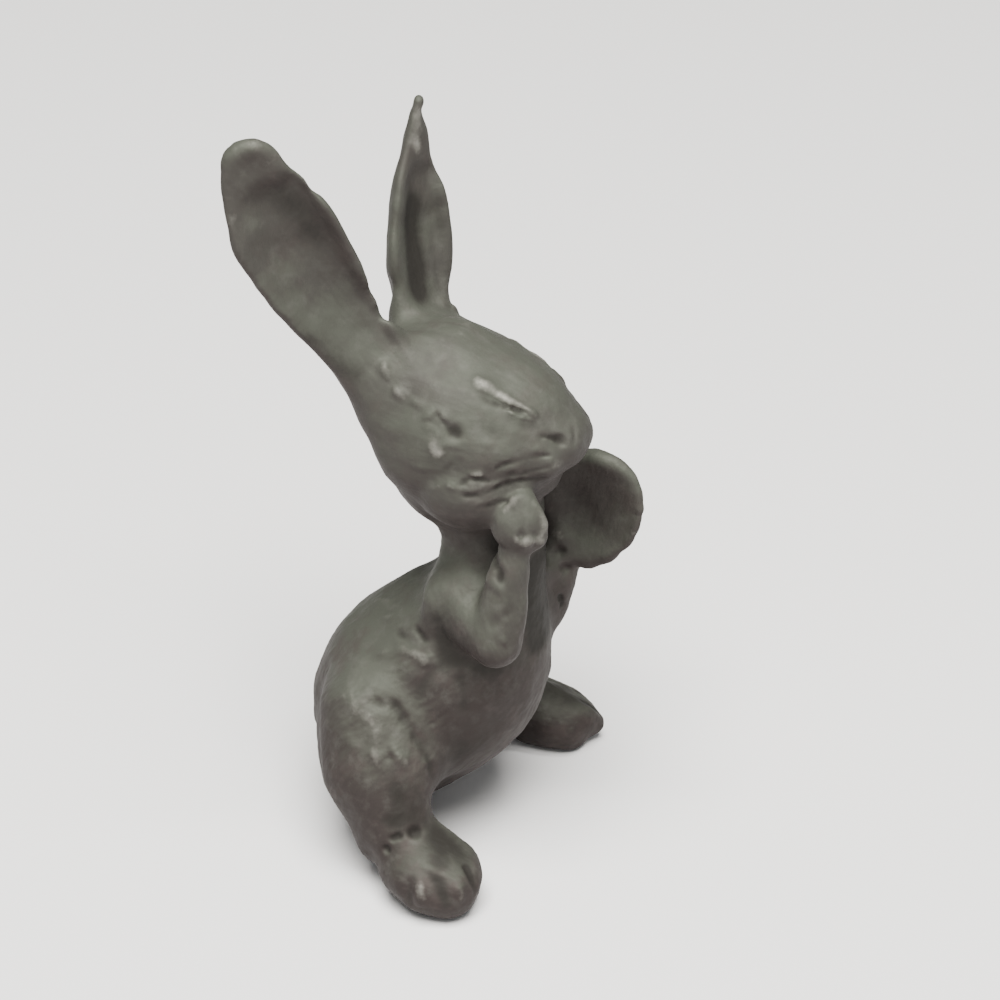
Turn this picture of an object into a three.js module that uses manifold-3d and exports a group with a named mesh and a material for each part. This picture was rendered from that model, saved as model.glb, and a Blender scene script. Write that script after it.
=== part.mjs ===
// A small pewter rabbit that sits up on its haunches, with tall ears and its forepaws raised to its
// mouth. It is cast in thirteen pieces. Each outer casting has a round peg, which is soldered into a
// socket in the casting that carries it.
//
// Millimetres, +Z up. The rabbit looks along -Y, so its right side is on -X. The finished figure
// stands on z = 0 with the middle of its box over the origin.

import * as THREE from "three";
import { mergeVertices } from "three/addons/utils/BufferGeometryUtils.js";
import Module from "manifold-3d";

const wasm = await Module();
wasm.setup();

// Solder joints
const solderGap = 0.3; // between the faces of two castings
// A peg reaches its length into its socket, and its root runs back into its own casting.
const mainPeg = { diameter: 2.6, length: 2.4, root: 2 };
const pawPeg = { diameter: 1.4, length: 1.6, root: 1.2 };

// A station is one cross-section of a casting: the place of its middle, and its width and depth.
// A cup bends the cross-section into a trough of that depth. Out is away from the middle of the
// rabbit, ahead is towards its nose, and rise is upwards, each from the place named with the stations.

// Trunk, in level sections above the table
const seat = { ahead: -4.2, rise: 0, wide: 12, deep: 8 };
const rump = { ahead: -2.6, rise: 4.4, wide: 17, deep: 12 };
const belly = { ahead: -1.2, rise: 10.4, wide: 19.5, deep: 20.2 };
const ribs = { ahead: 0.4, rise: 17, wide: 19, deep: 20.4 };
const shoulders = { ahead: 2.6, rise: 22.6, wide: 15, deep: 15.2 };
const neck = { ahead: 5.6, rise: 28.6, wide: 10.2, deep: 9 };
const throat = { ahead: 5.4, rise: 33, wide: 9.6, deep: 9.4 };
const trunkEnds = 0.6; // height of the domes at its two ends, as a share of a half ball

// Hind legs, out from the side of the belly and above the table
const thigh = { out: -1.4, ahead: -3.0, rise: 14.6, wide: 7.4, deep: 9 };
const knee = { out: 0.6, ahead: -1.0, rise: 9.8, wide: 8.6, deep: 11 };
const shin = { out: 2.4, ahead: 0.9, rise: 5.6, wide: 7.2, deep: 8.2 };
const haunch = { out: -1.8, ahead: -2.5, rise: 9.2, wide: 9, deep: 10.6, tall: 15 };

// Hind feet, from the foot of the shin
const heel = { out: 1.8, ahead: 2.9, rise: 2.4, wide: 7.6, deep: 5.6 };
const instep = { out: 2.2, ahead: 4.4, rise: 2.7, wide: 8.4, deep: 6.4 };
const toes = { out: 2.4, ahead: 6.8, rise: 2.3, wide: 7.8, deep: 5.6 };

// Tail
const tailDiameter = 4.4;
const tailInset = 0; // of its middle inside the back of the rump

// Head, from the top of the throat, in upright sections from the nape to the nose
const nape = { ahead: -9.5, rise: 8.0, wide: 8, deep: 7 };
const crown = { ahead: -8.0, rise: 7.8, wide: 14, deep: 14.2 };
const skull = { ahead: -3.7, rise: 7.6, wide: 16.4, deep: 18 };
const brow = { ahead: 1.3, rise: 7.8, wide: 15, deep: 13.9 };
const face = { ahead: 4.9, rise: 7.9, wide: 11.6, deep: 10.6 };
const nose = { ahead: 7.7, rise: 7.9, wide: 6.2, deep: 5.0 };
const headEnds = 0.5;
const cheek = { out: 4.2, ahead: -0.5, rise: 4.4, wide: 8.6, deep: 10, tall: 9 };
const whiskerPad = { out: 2.5, ahead: 5.7, rise: 6.9, wide: 4.6, deep: 4.6, tall: 4 };
const chin = { out: 0, ahead: 3.6, rise: 3.9, wide: 5.6, deep: 6, tall: 5 };

// Ears, from their roots, which lie under the top of the skull
const earRoot = { out: 3.4, ahead: -4.0, depth: 5.6 };
const rightEar = {
  opensTo: { out: 0.85, ahead: 0.45, rise: 0.2 },
  root: { out: 0, ahead: 0, rise: 0, wide: 6.4, deep: 5.6, cup: 0 },
  stalk: { out: 1.4, ahead: -2.2, rise: 4.9, wide: 7.0, deep: 3.6, cup: 0.6 },
  lobe: { out: 3.0, ahead: -4.4, rise: 9.5, wide: 7.8, deep: 2.6, cup: 1.6 },
  broadest: { out: 4.6, ahead: -6.3, rise: 14.0, wide: 9.0, deep: 2.2, cup: 2.0 },
  upper: { out: 5.9, ahead: -7.9, rise: 18.3, wide: 8.6, deep: 2.1, cup: 1.7 },
  shoulder: { out: 6.8, ahead: -9.4, rise: 22.0, wide: 6.6, deep: 1.9, cup: 0.8 },
  tip: { out: 7.2, ahead: -10.1, rise: 23.7, wide: 4.2, deep: 1.7, cup: 0.3 },
};
const leftEar = {
  opensTo: { out: -0.34, ahead: 0.94, rise: 0.1 },
  root: { out: 0, ahead: 0, rise: 0, wide: 6.4, deep: 5.6, cup: 0 },
  stalk: { out: 1.3, ahead: -1.2, rise: 4.8, wide: 6.6, deep: 3.4, cup: 0.8 },
  broadest: { out: 2.4, ahead: -1.8, rise: 9.6, wide: 7.6, deep: 2.4, cup: 1.9 },
  fold: { out: 3.4, ahead: -2.2, rise: 14.2, wide: 6.0, deep: 2.2, cup: 1.5 },
  upper: { out: 4.3, ahead: -2.5, rise: 18.6, wide: 3.0, deep: 1.8, cup: 0.5 },
  tip: { out: 4.7, ahead: -2.4, rise: 22.0, wide: 1.4, deep: 1.4, cup: 0 },
};

// Forelegs, from the side of the shoulders. The right one is held higher than the left.
const rightArm = {
  shoulder: { out: -2.4, ahead: 1.7, rise: 3.0, wide: 5.4, deep: 6.4 },
  elbow: { out: -0.1, ahead: 6.2, rise: 1.2, wide: 4.8, deep: 5.0 },
  wrist: { out: -1.5, ahead: 7.3, rise: 9.4, wide: 3.0, deep: 3.2 },
};
const leftArm = {
  shoulder: { out: -2.2, ahead: 1.2, rise: 0, wide: 5.4, deep: 6.4 },
  elbow: { out: -1.4, ahead: 5.3, rise: -2.8, wide: 4.6, deep: 4.4 },
  wrist: { out: -1.3, ahead: 7.0, rise: 1.0, wide: 3.4, deep: 3.6 },
};

// Forepaws, from their wrists. The right one is folded, and the left one is cupped beside the mouth.
const rightPaw = {
  opensTo: { out: 0.9, ahead: 0.45, rise: 0 },
  heel: { out: 0, ahead: 0.5, rise: 1.9, wide: 5.0, deep: 3.0, cup: 0 },
  knuckles: { out: -0.1, ahead: 0.8, rise: 3.6, wide: 4.4, deep: 2.8, cup: 0 },
  fingers: { out: -0.5, ahead: 0.7, rise: 5.0, wide: 2.6, deep: 2.2, cup: 0 },
};
const leftPaw = {
  opensTo: { out: -0.9, ahead: 0.1, rise: 0.35 },
  heel: { out: 0.2, ahead: 1.0, rise: 1.8, wide: 6.2, deep: 2.8, cup: 0.4 },
  palm: { out: 0.4, ahead: 2.1, rise: 4.2, wide: 9.2, deep: 2.4, cup: 1.4 },
  knuckles: { out: 0.4, ahead: 2.9, rise: 7.7, wide: 10.0, deep: 2.2, cup: 1.8 },
  fingers: { out: 0, ahead: 3.3, rise: 11.4, wide: 8.0, deep: 2.0, cup: 1.0 },
};

// Facets
const aroundTrunk = 24;
const aroundEar = 20;
const aroundLimb = 18;
const aroundPeg = 12;
const alongTrunk = 16;
const alongEar = 14;
const alongLimb = 7;
const domeRings = 4;
const lumpFacets = 16;

const point = ({ x, y, z }) => new THREE.Vector3(x, y, z);
const up = new THREE.Vector3(0, 0, 1);
const forward = new THREE.Vector3(0, -1, 0);
const rearward = new THREE.Vector3(0, 1, 0);
const across = { left: 1, right: -1 };

// The station's place, measured from another place on one side of the rabbit
function placed(from, side, { out = 0, ahead = 0, rise = 0, ...size }) {
  return { x: from.x + across[side] * out, y: from.y - ahead, z: from.z + rise, ...size };
}

// A closed skin over a row of rings with the same number of points, from one end point to the other
function skin(start, rings, end) {
  const around = rings[0].length;
  const points = [start, ...rings.flat(), end];
  const lastRing = rings.length - 1;
  const at = (ring, step) => 1 + ring * around + (step % around);
  const faces = [];
  for (let step = 0; step < around; step++) {
    faces.push(0, at(0, step + 1), at(0, step));
    faces.push(points.length - 1, at(lastRing, step), at(lastRing, step + 1));
    for (let ring = 0; ring < lastRing; ring++) {
      faces.push(at(ring, step), at(ring, step + 1), at(ring + 1, step + 1));
      faces.push(at(ring, step), at(ring + 1, step + 1), at(ring + 1, step));
    }
  }
  const geometry = new THREE.BufferGeometry().setFromPoints(points);
  geometry.setIndex(faces);
  return geometry;
}

// A limb runs smoothly through its stations and has a dome at each end. Back is the way that its
// depth is measured and that a cup bulges. Its sections are square to its path, or all to facing.
function limb(stations, { back, facing, around = aroundLimb, along = alongLimb, ends = 1 }) {
  const smooth = (points) => new THREE.CatmullRomCurve3(points, false, "catmullrom");
  const path = smooth(stations.map(point));
  const sizes = smooth(
    stations.map((s) => new THREE.Vector3(s.wide / 2, s.deep / 2, s.cup ?? 0)),
  );
  const ahead = (t) => facing ?? path.getTangent(t);
  const domeHeight = (t) => ends * Math.min(sizes.getPoint(t).x, sizes.getPoint(t).y);

  // The section at a place on the path, scaled, and shifted along the path
  function section(t, scale, shift) {
    const size = sizes.getPoint(t).multiplyScalar(scale);
    const side = back.clone().cross(ahead(t)).normalize();
    const depth = ahead(t).clone().cross(side);
    const middle = path.getPoint(t).addScaledVector(ahead(t), shift);
    return Array.from({ length: around }, (_, step) => {
      const angle = (2 * Math.PI * step) / around;
      const bulge = size.z * (Math.sin(angle) ** 2 - 0.5);
      return middle
        .clone()
        .addScaledVector(side, size.x * Math.cos(angle))
        .addScaledVector(depth, size.y * Math.sin(angle) + bulge);
    });
  }
  const quarter = (step) => (Math.PI / 2) * (step / domeRings);
  const steps = Array.from({ length: domeRings }, (_, i) => quarter(i + 1));
  const dome = (t, side) =>
    steps.map((angle) => section(t, Math.sin(angle), side * domeHeight(t) * Math.cos(angle)));
  const between = Array.from({ length: along - 1 }, (_, i) => section((i + 1) / along, 1, 0));
  return skin(
    path.getPoint(0).addScaledVector(ahead(0), -domeHeight(0)),
    [...dome(0, -1), ...between, ...dome(1, 1).reverse()],
    path.getPoint(1).addScaledVector(ahead(1), domeHeight(1)),
  );
}

// A rounded lump
function lump({ x, y, z, wide, deep, tall }) {
  return new THREE.SphereGeometry(0.5, lumpFacets, lumpFacets / 2)
    .rotateX(Math.PI / 2)
    .scale(wide, deep, tall)
    .translate(x, y, z);
}

// The geometry with its places alone, each corner shared by its faces
function bare(geometry) {
  const shape = new THREE.BufferGeometry();
  shape.setAttribute("position", geometry.attributes.position.clone());
  shape.setIndex(geometry.index);
  return mergeVertices(shape);
}

// The same form with its skin moved outwards
function grown(geometry, distance) {
  const shape = bare(geometry);
  shape.computeVertexNormals();
  const { position, normal } = shape.attributes;
  for (let i = 0; i < position.count; i++) {
    const moved = new THREE.Vector3().fromBufferAttribute(position, i);
    moved.addScaledVector(new THREE.Vector3().fromBufferAttribute(normal, i), distance);
    position.setXYZ(i, moved.x, moved.y, moved.z);
  }
  return shape;
}

function solid(geometry) {
  const { attributes, index } = bare(geometry);
  return new wasm.Manifold(
    new wasm.Mesh({
      numProp: 3,
      vertProperties: Float32Array.from(attributes.position.array),
      triVerts: Uint32Array.from(index.array),
    }),
  );
}

// A round bar from one point to another
function bar(from, to, diameter) {
  const span = to.clone().sub(from);
  const turn = new THREE.Quaternion().setFromUnitVectors(rearward, span.clone().normalize());
  return new THREE.CylinderGeometry(diameter / 2, diameter / 2, span.length(), aroundPeg)
    .applyQuaternion(turn)
    .translate(...from.clone().lerp(to, 0.5).toArray());
}

// A peg and its socket, where a line from outside meets the skin of the carrying casting
function joint(carrier, outside, inside, { diameter, length, root } = mainPeg) {
  const inward = inside.clone().sub(outside).normalize();
  const skins = carrier.map(
    (form) => new THREE.Mesh(form, new THREE.MeshBasicMaterial({ side: THREE.DoubleSide })),
  );
  const seam = new THREE.Raycaster(outside, inward).intersectObjects(skins)[0].point;
  const along = (distance) => seam.clone().addScaledVector(inward, distance);
  return {
    carrier,
    peg: solid(bar(along(-root), along(length), diameter)),
    socket: solid(bar(along(-root), along(length + solderGap), diameter + 2 * solderGap)),
  };
}

// The point that is so many times as far from one place as another place is
const beyond = (from, through, times) => point(from).lerp(point(through), times);
const backOf = ({ out, ahead, rise }, side) =>
  new THREE.Vector3(-across[side] * out, ahead, -rise);

// Trunk
const table = { x: 0, y: 0, z: 0 };
const onTable = (station) => placed(table, "left", station);
const trunk = [
  limb([seat, rump, belly, ribs, shoulders, neck, throat].map(onTable), {
    back: rearward,
    facing: up,
    around: aroundTrunk,
    along: alongTrunk,
    ends: trunkEnds,
  }),
];

// Head
const headPlace = onTable(throat);
const onNeck = (side) => (station) => placed(headPlace, side, station);
const head = [
  limb([nape, crown, skull, brow, face, nose].map(onNeck("left")), {
    back: up,
    facing: forward,
    around: aroundTrunk,
    along: alongTrunk,
    ends: headEnds,
  }),
  ...[cheek, whiskerPad].flatMap((part) => [
    lump(onNeck("left")(part)),
    lump(onNeck("right")(part)),
  ]),
  lump(onNeck("left")(chin)),
];
const overHead = point(headPlace).addScaledVector(up, skull.rise + skull.deep);
const neckJoint = joint(trunk, overHead, point(headPlace));

// Ears
function makeEar(side, { opensTo, ...sections }) {
  const root = placed(onNeck(side)(skull), side, {
    out: earRoot.out,
    ahead: earRoot.ahead,
    rise: skull.deep / 2 - earRoot.depth,
  });
  const path = Object.values(sections).map((station) => placed(root, side, station));
  return {
    forms: [limb(path, { back: backOf(opensTo, side), around: aroundEar, along: alongEar })],
    ...joint(head, beyond(path[0], path[1], 2), point(path[0])),
  };
}
const ears = { right: makeEar("right", rightEar), left: makeEar("left", leftEar) };

// Forelegs and forepaws
function makeArm(side, arm) {
  const flank = placed(onTable(shoulders), side, { out: shoulders.wide / 2 });
  const [shoulder, elbow, wrist] = [arm.shoulder, arm.elbow, arm.wrist].map((station) =>
    placed(flank, side, station),
  );
  return {
    elbow,
    wrist,
    forms: [limb([shoulder, elbow], { back: rearward }), limb([elbow, wrist], { back: rearward })],
    ...joint(trunk, beyond(shoulder, elbow, 3), point(shoulder)),
  };
}
const arms = { right: makeArm("right", rightArm), left: makeArm("left", leftArm) };

function makePaw(side, { opensTo, ...sections }) {
  const { elbow, wrist, forms } = arms[side];
  const path = Object.values(sections).map((station) => placed(wrist, side, station));
  return {
    forms: [limb(path, { back: backOf(opensTo, side), around: aroundEar, along: alongEar / 2 })],
    ...joint(forms, beyond(elbow, wrist, 2), point(wrist), pawPeg),
  };
}
const paws = { right: makePaw("right", rightPaw), left: makePaw("left", leftPaw) };

// Hind legs and hind feet
function makeLeg(side) {
  const hip = placed(table, side, { out: belly.wide / 2 });
  const [top, bend, end] = [thigh, knee, shin].map((station) => placed(hip, side, station));
  const inside = point(bend).setX(0);
  const outside = inside.clone().setX(across[side] * belly.wide);
  return {
    end,
    forms: [limb([top, bend, end], { back: rearward }), lump(placed(hip, side, haunch))],
    ...joint(trunk, outside, inside),
  };
}
const legs = { right: makeLeg("right"), left: makeLeg("left") };

function makeFoot(side) {
  const { end, forms } = legs[side];
  const ankle = { ...end, z: 0 };
  const path = [heel, instep, toes].map((station) => placed(ankle, side, station));
  return {
    forms: [limb(path, { back: up })],
    ...joint(forms, beyond(end, path[1], 2), point(end)),
  };
}
const feet = { right: makeFoot("right"), left: makeFoot("left") };

// Tail
const tailPlace = onTable({
  ahead: rump.ahead - rump.deep / 2 + tailInset,
  rise: tailDiameter / 2,
  wide: tailDiameter,
  deep: tailDiameter,
  tall: tailDiameter,
});
const tail = [lump(tailPlace)];
const tailJoint = joint(
  trunk,
  point(tailPlace).addScaledVector(rearward, rump.deep),
  point(tailPlace),
);

// The castings, each cut clear of its neighbours and flat where it meets the table
const tableSize = 8 * ribs.deep;
const tableTop = solid(
  new THREE.BoxGeometry(tableSize, tableSize, tableSize).translate(0, 0, -tableSize / 2),
);
const pewter = { color: 0x625f5a, roughness: 0.55, metalness: 0.85 };
const figure = new THREE.Group();

// One casting: it clears the casting that carries it, then takes its peg, then clears its other
// neighbours, and holds the sockets of the castings that it carries
function cast(name, { forms, carrier = [], peg, clears = [] }, sockets = []) {
  const less = (made, form) => made.subtract(solid(grown(form, solderGap)));
  let made = forms.map(solid).reduce((whole, next) => whole.add(next));
  made = carrier.reduce(less, made);
  if (peg) made = made.add(peg);
  made = clears.reduce(less, made);
  for (const socket of sockets) made = made.subtract(socket);
  const { vertProperties, triVerts } = made.subtract(tableTop).getMesh();
  const geometry = new THREE.BufferGeometry();
  geometry.setAttribute("position", new THREE.BufferAttribute(vertProperties, 3));
  geometry.setIndex(new THREE.BufferAttribute(triVerts, 1));
  geometry.computeVertexNormals();
  const mesh = new THREE.Mesh(geometry, new THREE.MeshStandardMaterial(pewter));
  mesh.name = name;
  figure.add(mesh);
}

const socketsOf = ({ right, left }) => [right.socket, left.socket];

cast("trunk", { forms: trunk }, [
  neckJoint.socket,
  tailJoint.socket,
  ...socketsOf(arms),
  ...socketsOf(legs),
]);
cast("head", { forms: head, ...neckJoint }, socketsOf(ears));
cast("tail", {
  forms: tail,
  ...tailJoint,
  clears: [...legs.right.forms, ...legs.left.forms],
});
for (const side of ["right", "left"]) {
  cast(`${side}_ear`, ears[side]);
  cast(`${side}_foreleg`, { ...arms[side], clears: head }, [paws[side].socket]);
  cast(`${side}_forepaw`, { ...paws[side], clears: [...head, ...trunk] });
  cast(`${side}_hind_leg`, legs[side], [feet[side].socket]);
  cast(`${side}_hind_foot`, { ...feet[side], clears: trunk });
}

const middle = new THREE.Box3().setFromObject(figure).getCenter(new THREE.Vector3());
for (const { geometry } of figure.children) geometry.translate(-middle.x, -middle.y, 0);

export default figure;
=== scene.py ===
# %% [markdown]
# A pewter rabbit, about 69 mm tall, sits up with its forepaws at its mouth. Its maker tooled it in
# wax, cut the wax into thirteen parts for casting, soldered the castings together and filed the
# seams away. The CAD model holds those castings at their real size, as faceted solids with a gap at
# every joint. This lesson gives them the skin of the finished figure. The model is loaded first,
# because every size and place below is measured from it.

# %% Load the castings
import math

import bpy
import numpy as np
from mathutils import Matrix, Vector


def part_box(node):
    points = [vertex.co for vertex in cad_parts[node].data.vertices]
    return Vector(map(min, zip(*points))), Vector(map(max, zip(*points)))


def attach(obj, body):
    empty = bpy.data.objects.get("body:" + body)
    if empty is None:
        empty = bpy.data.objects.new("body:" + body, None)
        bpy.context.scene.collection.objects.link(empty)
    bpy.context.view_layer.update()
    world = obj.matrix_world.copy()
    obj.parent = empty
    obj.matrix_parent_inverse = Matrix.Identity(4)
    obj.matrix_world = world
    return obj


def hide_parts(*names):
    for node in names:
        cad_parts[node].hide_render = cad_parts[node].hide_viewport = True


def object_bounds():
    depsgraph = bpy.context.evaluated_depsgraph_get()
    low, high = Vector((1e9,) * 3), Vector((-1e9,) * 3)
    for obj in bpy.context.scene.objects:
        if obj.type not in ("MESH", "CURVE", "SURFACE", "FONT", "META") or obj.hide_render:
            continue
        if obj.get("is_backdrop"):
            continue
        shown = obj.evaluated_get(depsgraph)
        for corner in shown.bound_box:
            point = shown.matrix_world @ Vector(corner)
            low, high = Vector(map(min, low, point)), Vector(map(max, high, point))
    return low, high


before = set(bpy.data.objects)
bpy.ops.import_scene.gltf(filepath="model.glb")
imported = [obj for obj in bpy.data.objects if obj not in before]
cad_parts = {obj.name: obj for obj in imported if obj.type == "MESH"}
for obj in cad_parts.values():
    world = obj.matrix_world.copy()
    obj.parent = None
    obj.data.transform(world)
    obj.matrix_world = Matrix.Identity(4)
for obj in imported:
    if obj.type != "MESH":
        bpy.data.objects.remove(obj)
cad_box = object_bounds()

import openvdb
from mathutils import Vector

mm = 0.001
names = sorted(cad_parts)
print(f"{len(names)} castings:", ", ".join(names))

# %% [markdown]
# A solder joint on a real figure is no groove: the metal flows into the corner and is filed to a
# soft fillet. Meshes are hard to melt together, but distances are easy. So each casting is turned
# into a field that says, at every point of a fine lattice, how far away its surface is. The field
# is negative inside the metal. All fields share one lattice, in millimetres.

# %% Measure the distance to every casting
cell = 0.2  # mm between the lattice points
reach = 4.0  # mm within which a distance is measured
border = 3.0  # mm of lattice around the castings
first = np.floor((np.array(cad_box[0]) / mm - border) / cell).astype(int)
last = np.ceil((np.array(cad_box[1]) / mm + border) / cell).astype(int)
count = last - first + 1


def distance_to(name):
    """How far each lattice point is from the surface of a casting, up to the reach."""
    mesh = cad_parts[name].data
    mesh.calc_loop_triangles()
    corners = np.empty(3 * len(mesh.vertices), np.float32)
    mesh.vertices.foreach_get("co", corners)
    faces = np.empty(3 * len(mesh.loop_triangles), np.int32)
    mesh.loop_triangles.foreach_get("vertices", faces)
    grid = openvdb.FloatGrid.createLevelSetFromPolygons(
        corners.reshape(-1, 3) / mm,
        triangles=faces.reshape(-1, 3).astype(np.uint32),
        transform=openvdb.createLinearTransform(cell),
        halfWidth=reach / cell,
    )
    field = np.empty(count, np.float32)
    grid.copyToArray(field, ijk=tuple(map(int, first)))
    return field


distance = {name: distance_to(name) for name in names}
print("lattice of", " x ".join(map(str, count)), "points")

# %% [markdown]
# Two distances are melted together with a smooth minimum: far from the joint it is the smaller of
# the two, and near it the result sinks below both, which fills the corner. The fillet of each
# casting is the width over which it melts into the ones before it. The ears flow widely into the
# head, and a forepaw keeps its outline. A blur then takes the flats off the faceted solids.

# %% Melt the castings into one figure
fillets = {
    "trunk": 0, "head": 1.6, "hind_leg": 2.6, "hind_foot": 2.4,
    "foreleg": 1.6, "ear": 3.4, "tail": 1.2, "forepaw": 0.9,
}
softness = 0.4  # mm that the blur reaches
bell_reach = 2.5  # widths after which the bell curve is cut off


def melted(one, other, fillet):
    """The smooth minimum of two distances."""
    if not fillet:
        return np.minimum(one, other)
    near = np.maximum(fillet - np.abs(one - other), 0) / fillet
    return np.minimum(one, other) - near * near * fillet / 4


def blurred(field, width):
    """The field averaged over a bell curve of that width along each axis."""
    steps = math.ceil(bell_reach * width / cell)
    bell = np.exp(-0.5 * (np.arange(-steps, steps + 1) * cell / width) ** 2)
    bell = (bell / bell.sum()).astype(np.float32)
    for axis in range(3):
        rows = [(steps * (a == axis),) * 2 for a in range(3)]
        padded = np.moveaxis(np.pad(field, rows, "edge"), axis, 0)
        size = field.shape[axis]
        total = bell[0] * padded[:size]
        for k in range(1, len(bell)):
            total += bell[k] * padded[k : k + size]
        field = np.moveaxis(total, 0, axis)
    return np.ascontiguousarray(field)


figure = np.full(count, reach, np.float32)
for part, fillet in fillets.items():
    for name in names:
        if name.endswith(part):
            figure = melted(figure, distance[name], fillet)
figure = blurred(figure, softness)
print("fillets:", ", ".join(f"{part} {size} mm" for part, size in fillets.items() if size))

# %% [markdown]
# Both ears are open scoops with a thin rim. The castings are only slightly dished, so the inner
# face is sunk here, and the back stays where it is. Each ear is measured along its length first.
# The deepest part of the scoop lies nearer to the front rim, and it fades out at the root and under
# the tip.

# %% Scoop out the ears
scoops = {
    "right_ear": dict(depth=0.5, rim=0.06, gentle=-0.85, deepest=0.2, starts=0.1, ends=0.8),
    "left_ear": dict(depth=0.35, rim=0.0, gentle=-0.75, deepest=0.0, starts=0.14, ends=0.7),
}
towards_viewer = np.array([-1, -0.5, 0])
slice_count = 25
slice_reach = 1.2  # mm to either side of a slice
margin = 8  # cells of lattice around an ear
inner_face = (-0.2, 0.5)  # slopes towards the viewer, from the edge to the inner face
fade_in, fade_out = 0.2, 0.1  # of an ear's length
bowl_ends = (0.56, 0.9)  # of the way from the middle to the front rim
rim_place, rim_width = 0.92, 0.1


def step_up(low, high, value):
    """Zero below low, one above high, and a smooth step between them."""
    t = np.clip((value - low) / (high - low), 0, 1)
    return t * t * (3 - 2 * t)


def scooped(name, depth, rim, gentle, deepest, starts, ends):
    """How far to sink the figure at each point of the lattice around an ear."""
    corners = np.array([corner.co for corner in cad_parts[name].data.vertices]) / mm
    middle = corners.mean(axis=0)
    along, across, through = np.linalg.svd(corners - middle, full_matrices=False)[2]
    along = along * np.sign(along[2])
    through = through * np.sign(through @ towards_viewer)
    across = np.cross(along, through)
    across = across * -np.sign(across[1])
    place = (corners - middle) @ along
    slices = np.linspace(place.min(), place.max(), slice_count)
    rows = [corners[abs(place - s) < slice_reach] @ across - middle @ across for s in slices]
    left = np.array([row.min() for row in rows])
    right = np.array([row.max() for row in rows])
    low = np.floor(corners.min(axis=0) / cell - margin).astype(int) - first
    high = np.ceil(corners.max(axis=0) / cell + margin).astype(int) - first
    part = tuple(slice(max(a, 0), min(b, n)) for a, b, n in zip(low, high, count))
    points = (np.stack(np.mgrid[part], -1) + first) * cell - middle
    t = points @ along
    half = (np.interp(t, slices, right) - np.interp(t, slices, left)) / 2
    v = (points @ across - np.interp(t, slices, left)) / half - 1
    s = (t - slices[0]) / (slices[-1] - slices[0])
    slope = np.stack(np.gradient(figure[part], cell), -1)
    inner = step_up(*inner_face, slope @ through)
    length = step_up(starts, starts + fade_in, s) * (1 - step_up(ends, ends + fade_out, s))
    bowl = step_up(gentle, deepest, v) * (1 - step_up(*bowl_ends, v))
    edge = np.exp(-(((abs(v) - rim_place) / rim_width) ** 2))
    change = (depth * bowl - rim * edge) * length * inner
    print(f"{name}: {slices[-1] - slices[0]:.1f} mm long, scooped {depth} mm deep")
    return part, change.astype(np.float32)


for name, sizes in scoops.items():
    part, change = scooped(name, **sizes)
    figure[part] += change

# %% [markdown]
# The maker tools wax with a loop and a burnisher: every mark is a short stroke that raises or sinks
# the skin by a few tenths of a millimetre. Strokes could be sculpted on a mesh, but then they would
# tear at the seams. Here a stroke is a bell-shaped ridge or groove that is added to the distance
# field, so it runs on from one piece to the next. Its path has to lie on the figure's skin, so its
# points slide along the slope of the field until the distance is zero.

# %% Lay a path on the skin
slides = 4
least_steep = 0.25


def sampled(field, points, start=first, spacing=cell):
    """The field's value at each point, between its lattice points."""
    at = points / spacing - start
    below = np.clip(at.astype(int), 0, np.array(field.shape) - 2)
    share = np.clip(at - below, 0, 1)
    total = 0
    for corner in np.ndindex(2, 2, 2):
        weight = np.prod(np.where(corner, share, 1 - share), axis=1)
        total = total + weight * field[tuple((below + corner).T)]
    return total


def on_skin(points):
    """The points moved along the slope of the figure until they lie on its skin."""
    for _ in range(slides):
        slope = [
            sampled(figure, points + step) - sampled(figure, points - step)
            for step in cell * np.eye(3)
        ]
        slope = np.array(slope).T / (2 * cell)
        steep = np.maximum((slope**2).sum(axis=1), least_steep)
        points = points - slope * (sampled(figure, points) / steep)[:, None]
    return points


def settled(path, step):
    """A smooth path through the points, resampled at the step and laid on the skin."""
    path = np.vstack([2 * path[0] - path[1], path, 2 * path[-1] - path[-2]])
    smooth = []
    for before, start, end, after in zip(path, path[1:], path[2:], path[3:]):
        pieces = max(1, math.ceil(np.linalg.norm(end - start) / step))
        t = (np.arange(pieces) / pieces)[:, None]
        bend = (2 * before - 5 * start + 4 * end - after) * t**2
        turn = (3 * start - before - 3 * end + after) * t**3
        smooth.append(start + 0.5 * ((end - before) * t + bend + turn))
    return on_skin(np.vstack([*smooth, path[-2]]))


above_the_head = np.array([[0, -5, 50]])
print("the skin by the top of the head is at", on_skin(above_the_head)[0].round(1), "mm")

# %% [markdown]
# A mark is written as its width in millimetres, its height or how far it is rubbed or painted light
# or dark, and the places of its path: tenths of a millimetre out to the side, ahead and up from the
# middle of a casting.
# Most places were chosen by eye on the photograph, and another script followed the camera's rays
# from there to the skin to work them out. A mark for a kind of casting, such as hind_leg, is laid
# on both of that kind, and one beside the middle of the head or the trunk is laid on both sides.
# No hand presses evenly, so width and height wander along a stroke. Raised metal is painted
# brighter, as wear and as a painted highlight, and sunk metal darker, as dirt and as painted shade,
# so the figure also notes these spots.

# %% Write marks in tenths of a millimetre
# Strokes are painted brighter or darker by their height: wear and painted highlight above, dirt and
# painted shade below.
full_rub = 0.4  # mm of height that gets polished fully
most_dirt_and_shade = 0.7
uneven_height, uneven_width = 0.3, 0.2
least_factor, most_factor = 0.4, 1.6
steadiness = 3  # places that a stroke goes on before the hand changes
beside = 1  # mm from the middle line at which a casting counts as one of a pair
end_height, end_rise = 0.55, 0.2  # of a stroke's height at its end, and more place by place
strokes = []
wear_and_light_marks = []
hand = np.random.default_rng(11)


def middle_of(name):
    """The middle of a casting's box, in millimetres."""
    return sum(np.array(corner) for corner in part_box(name)) / 2 / mm


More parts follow.
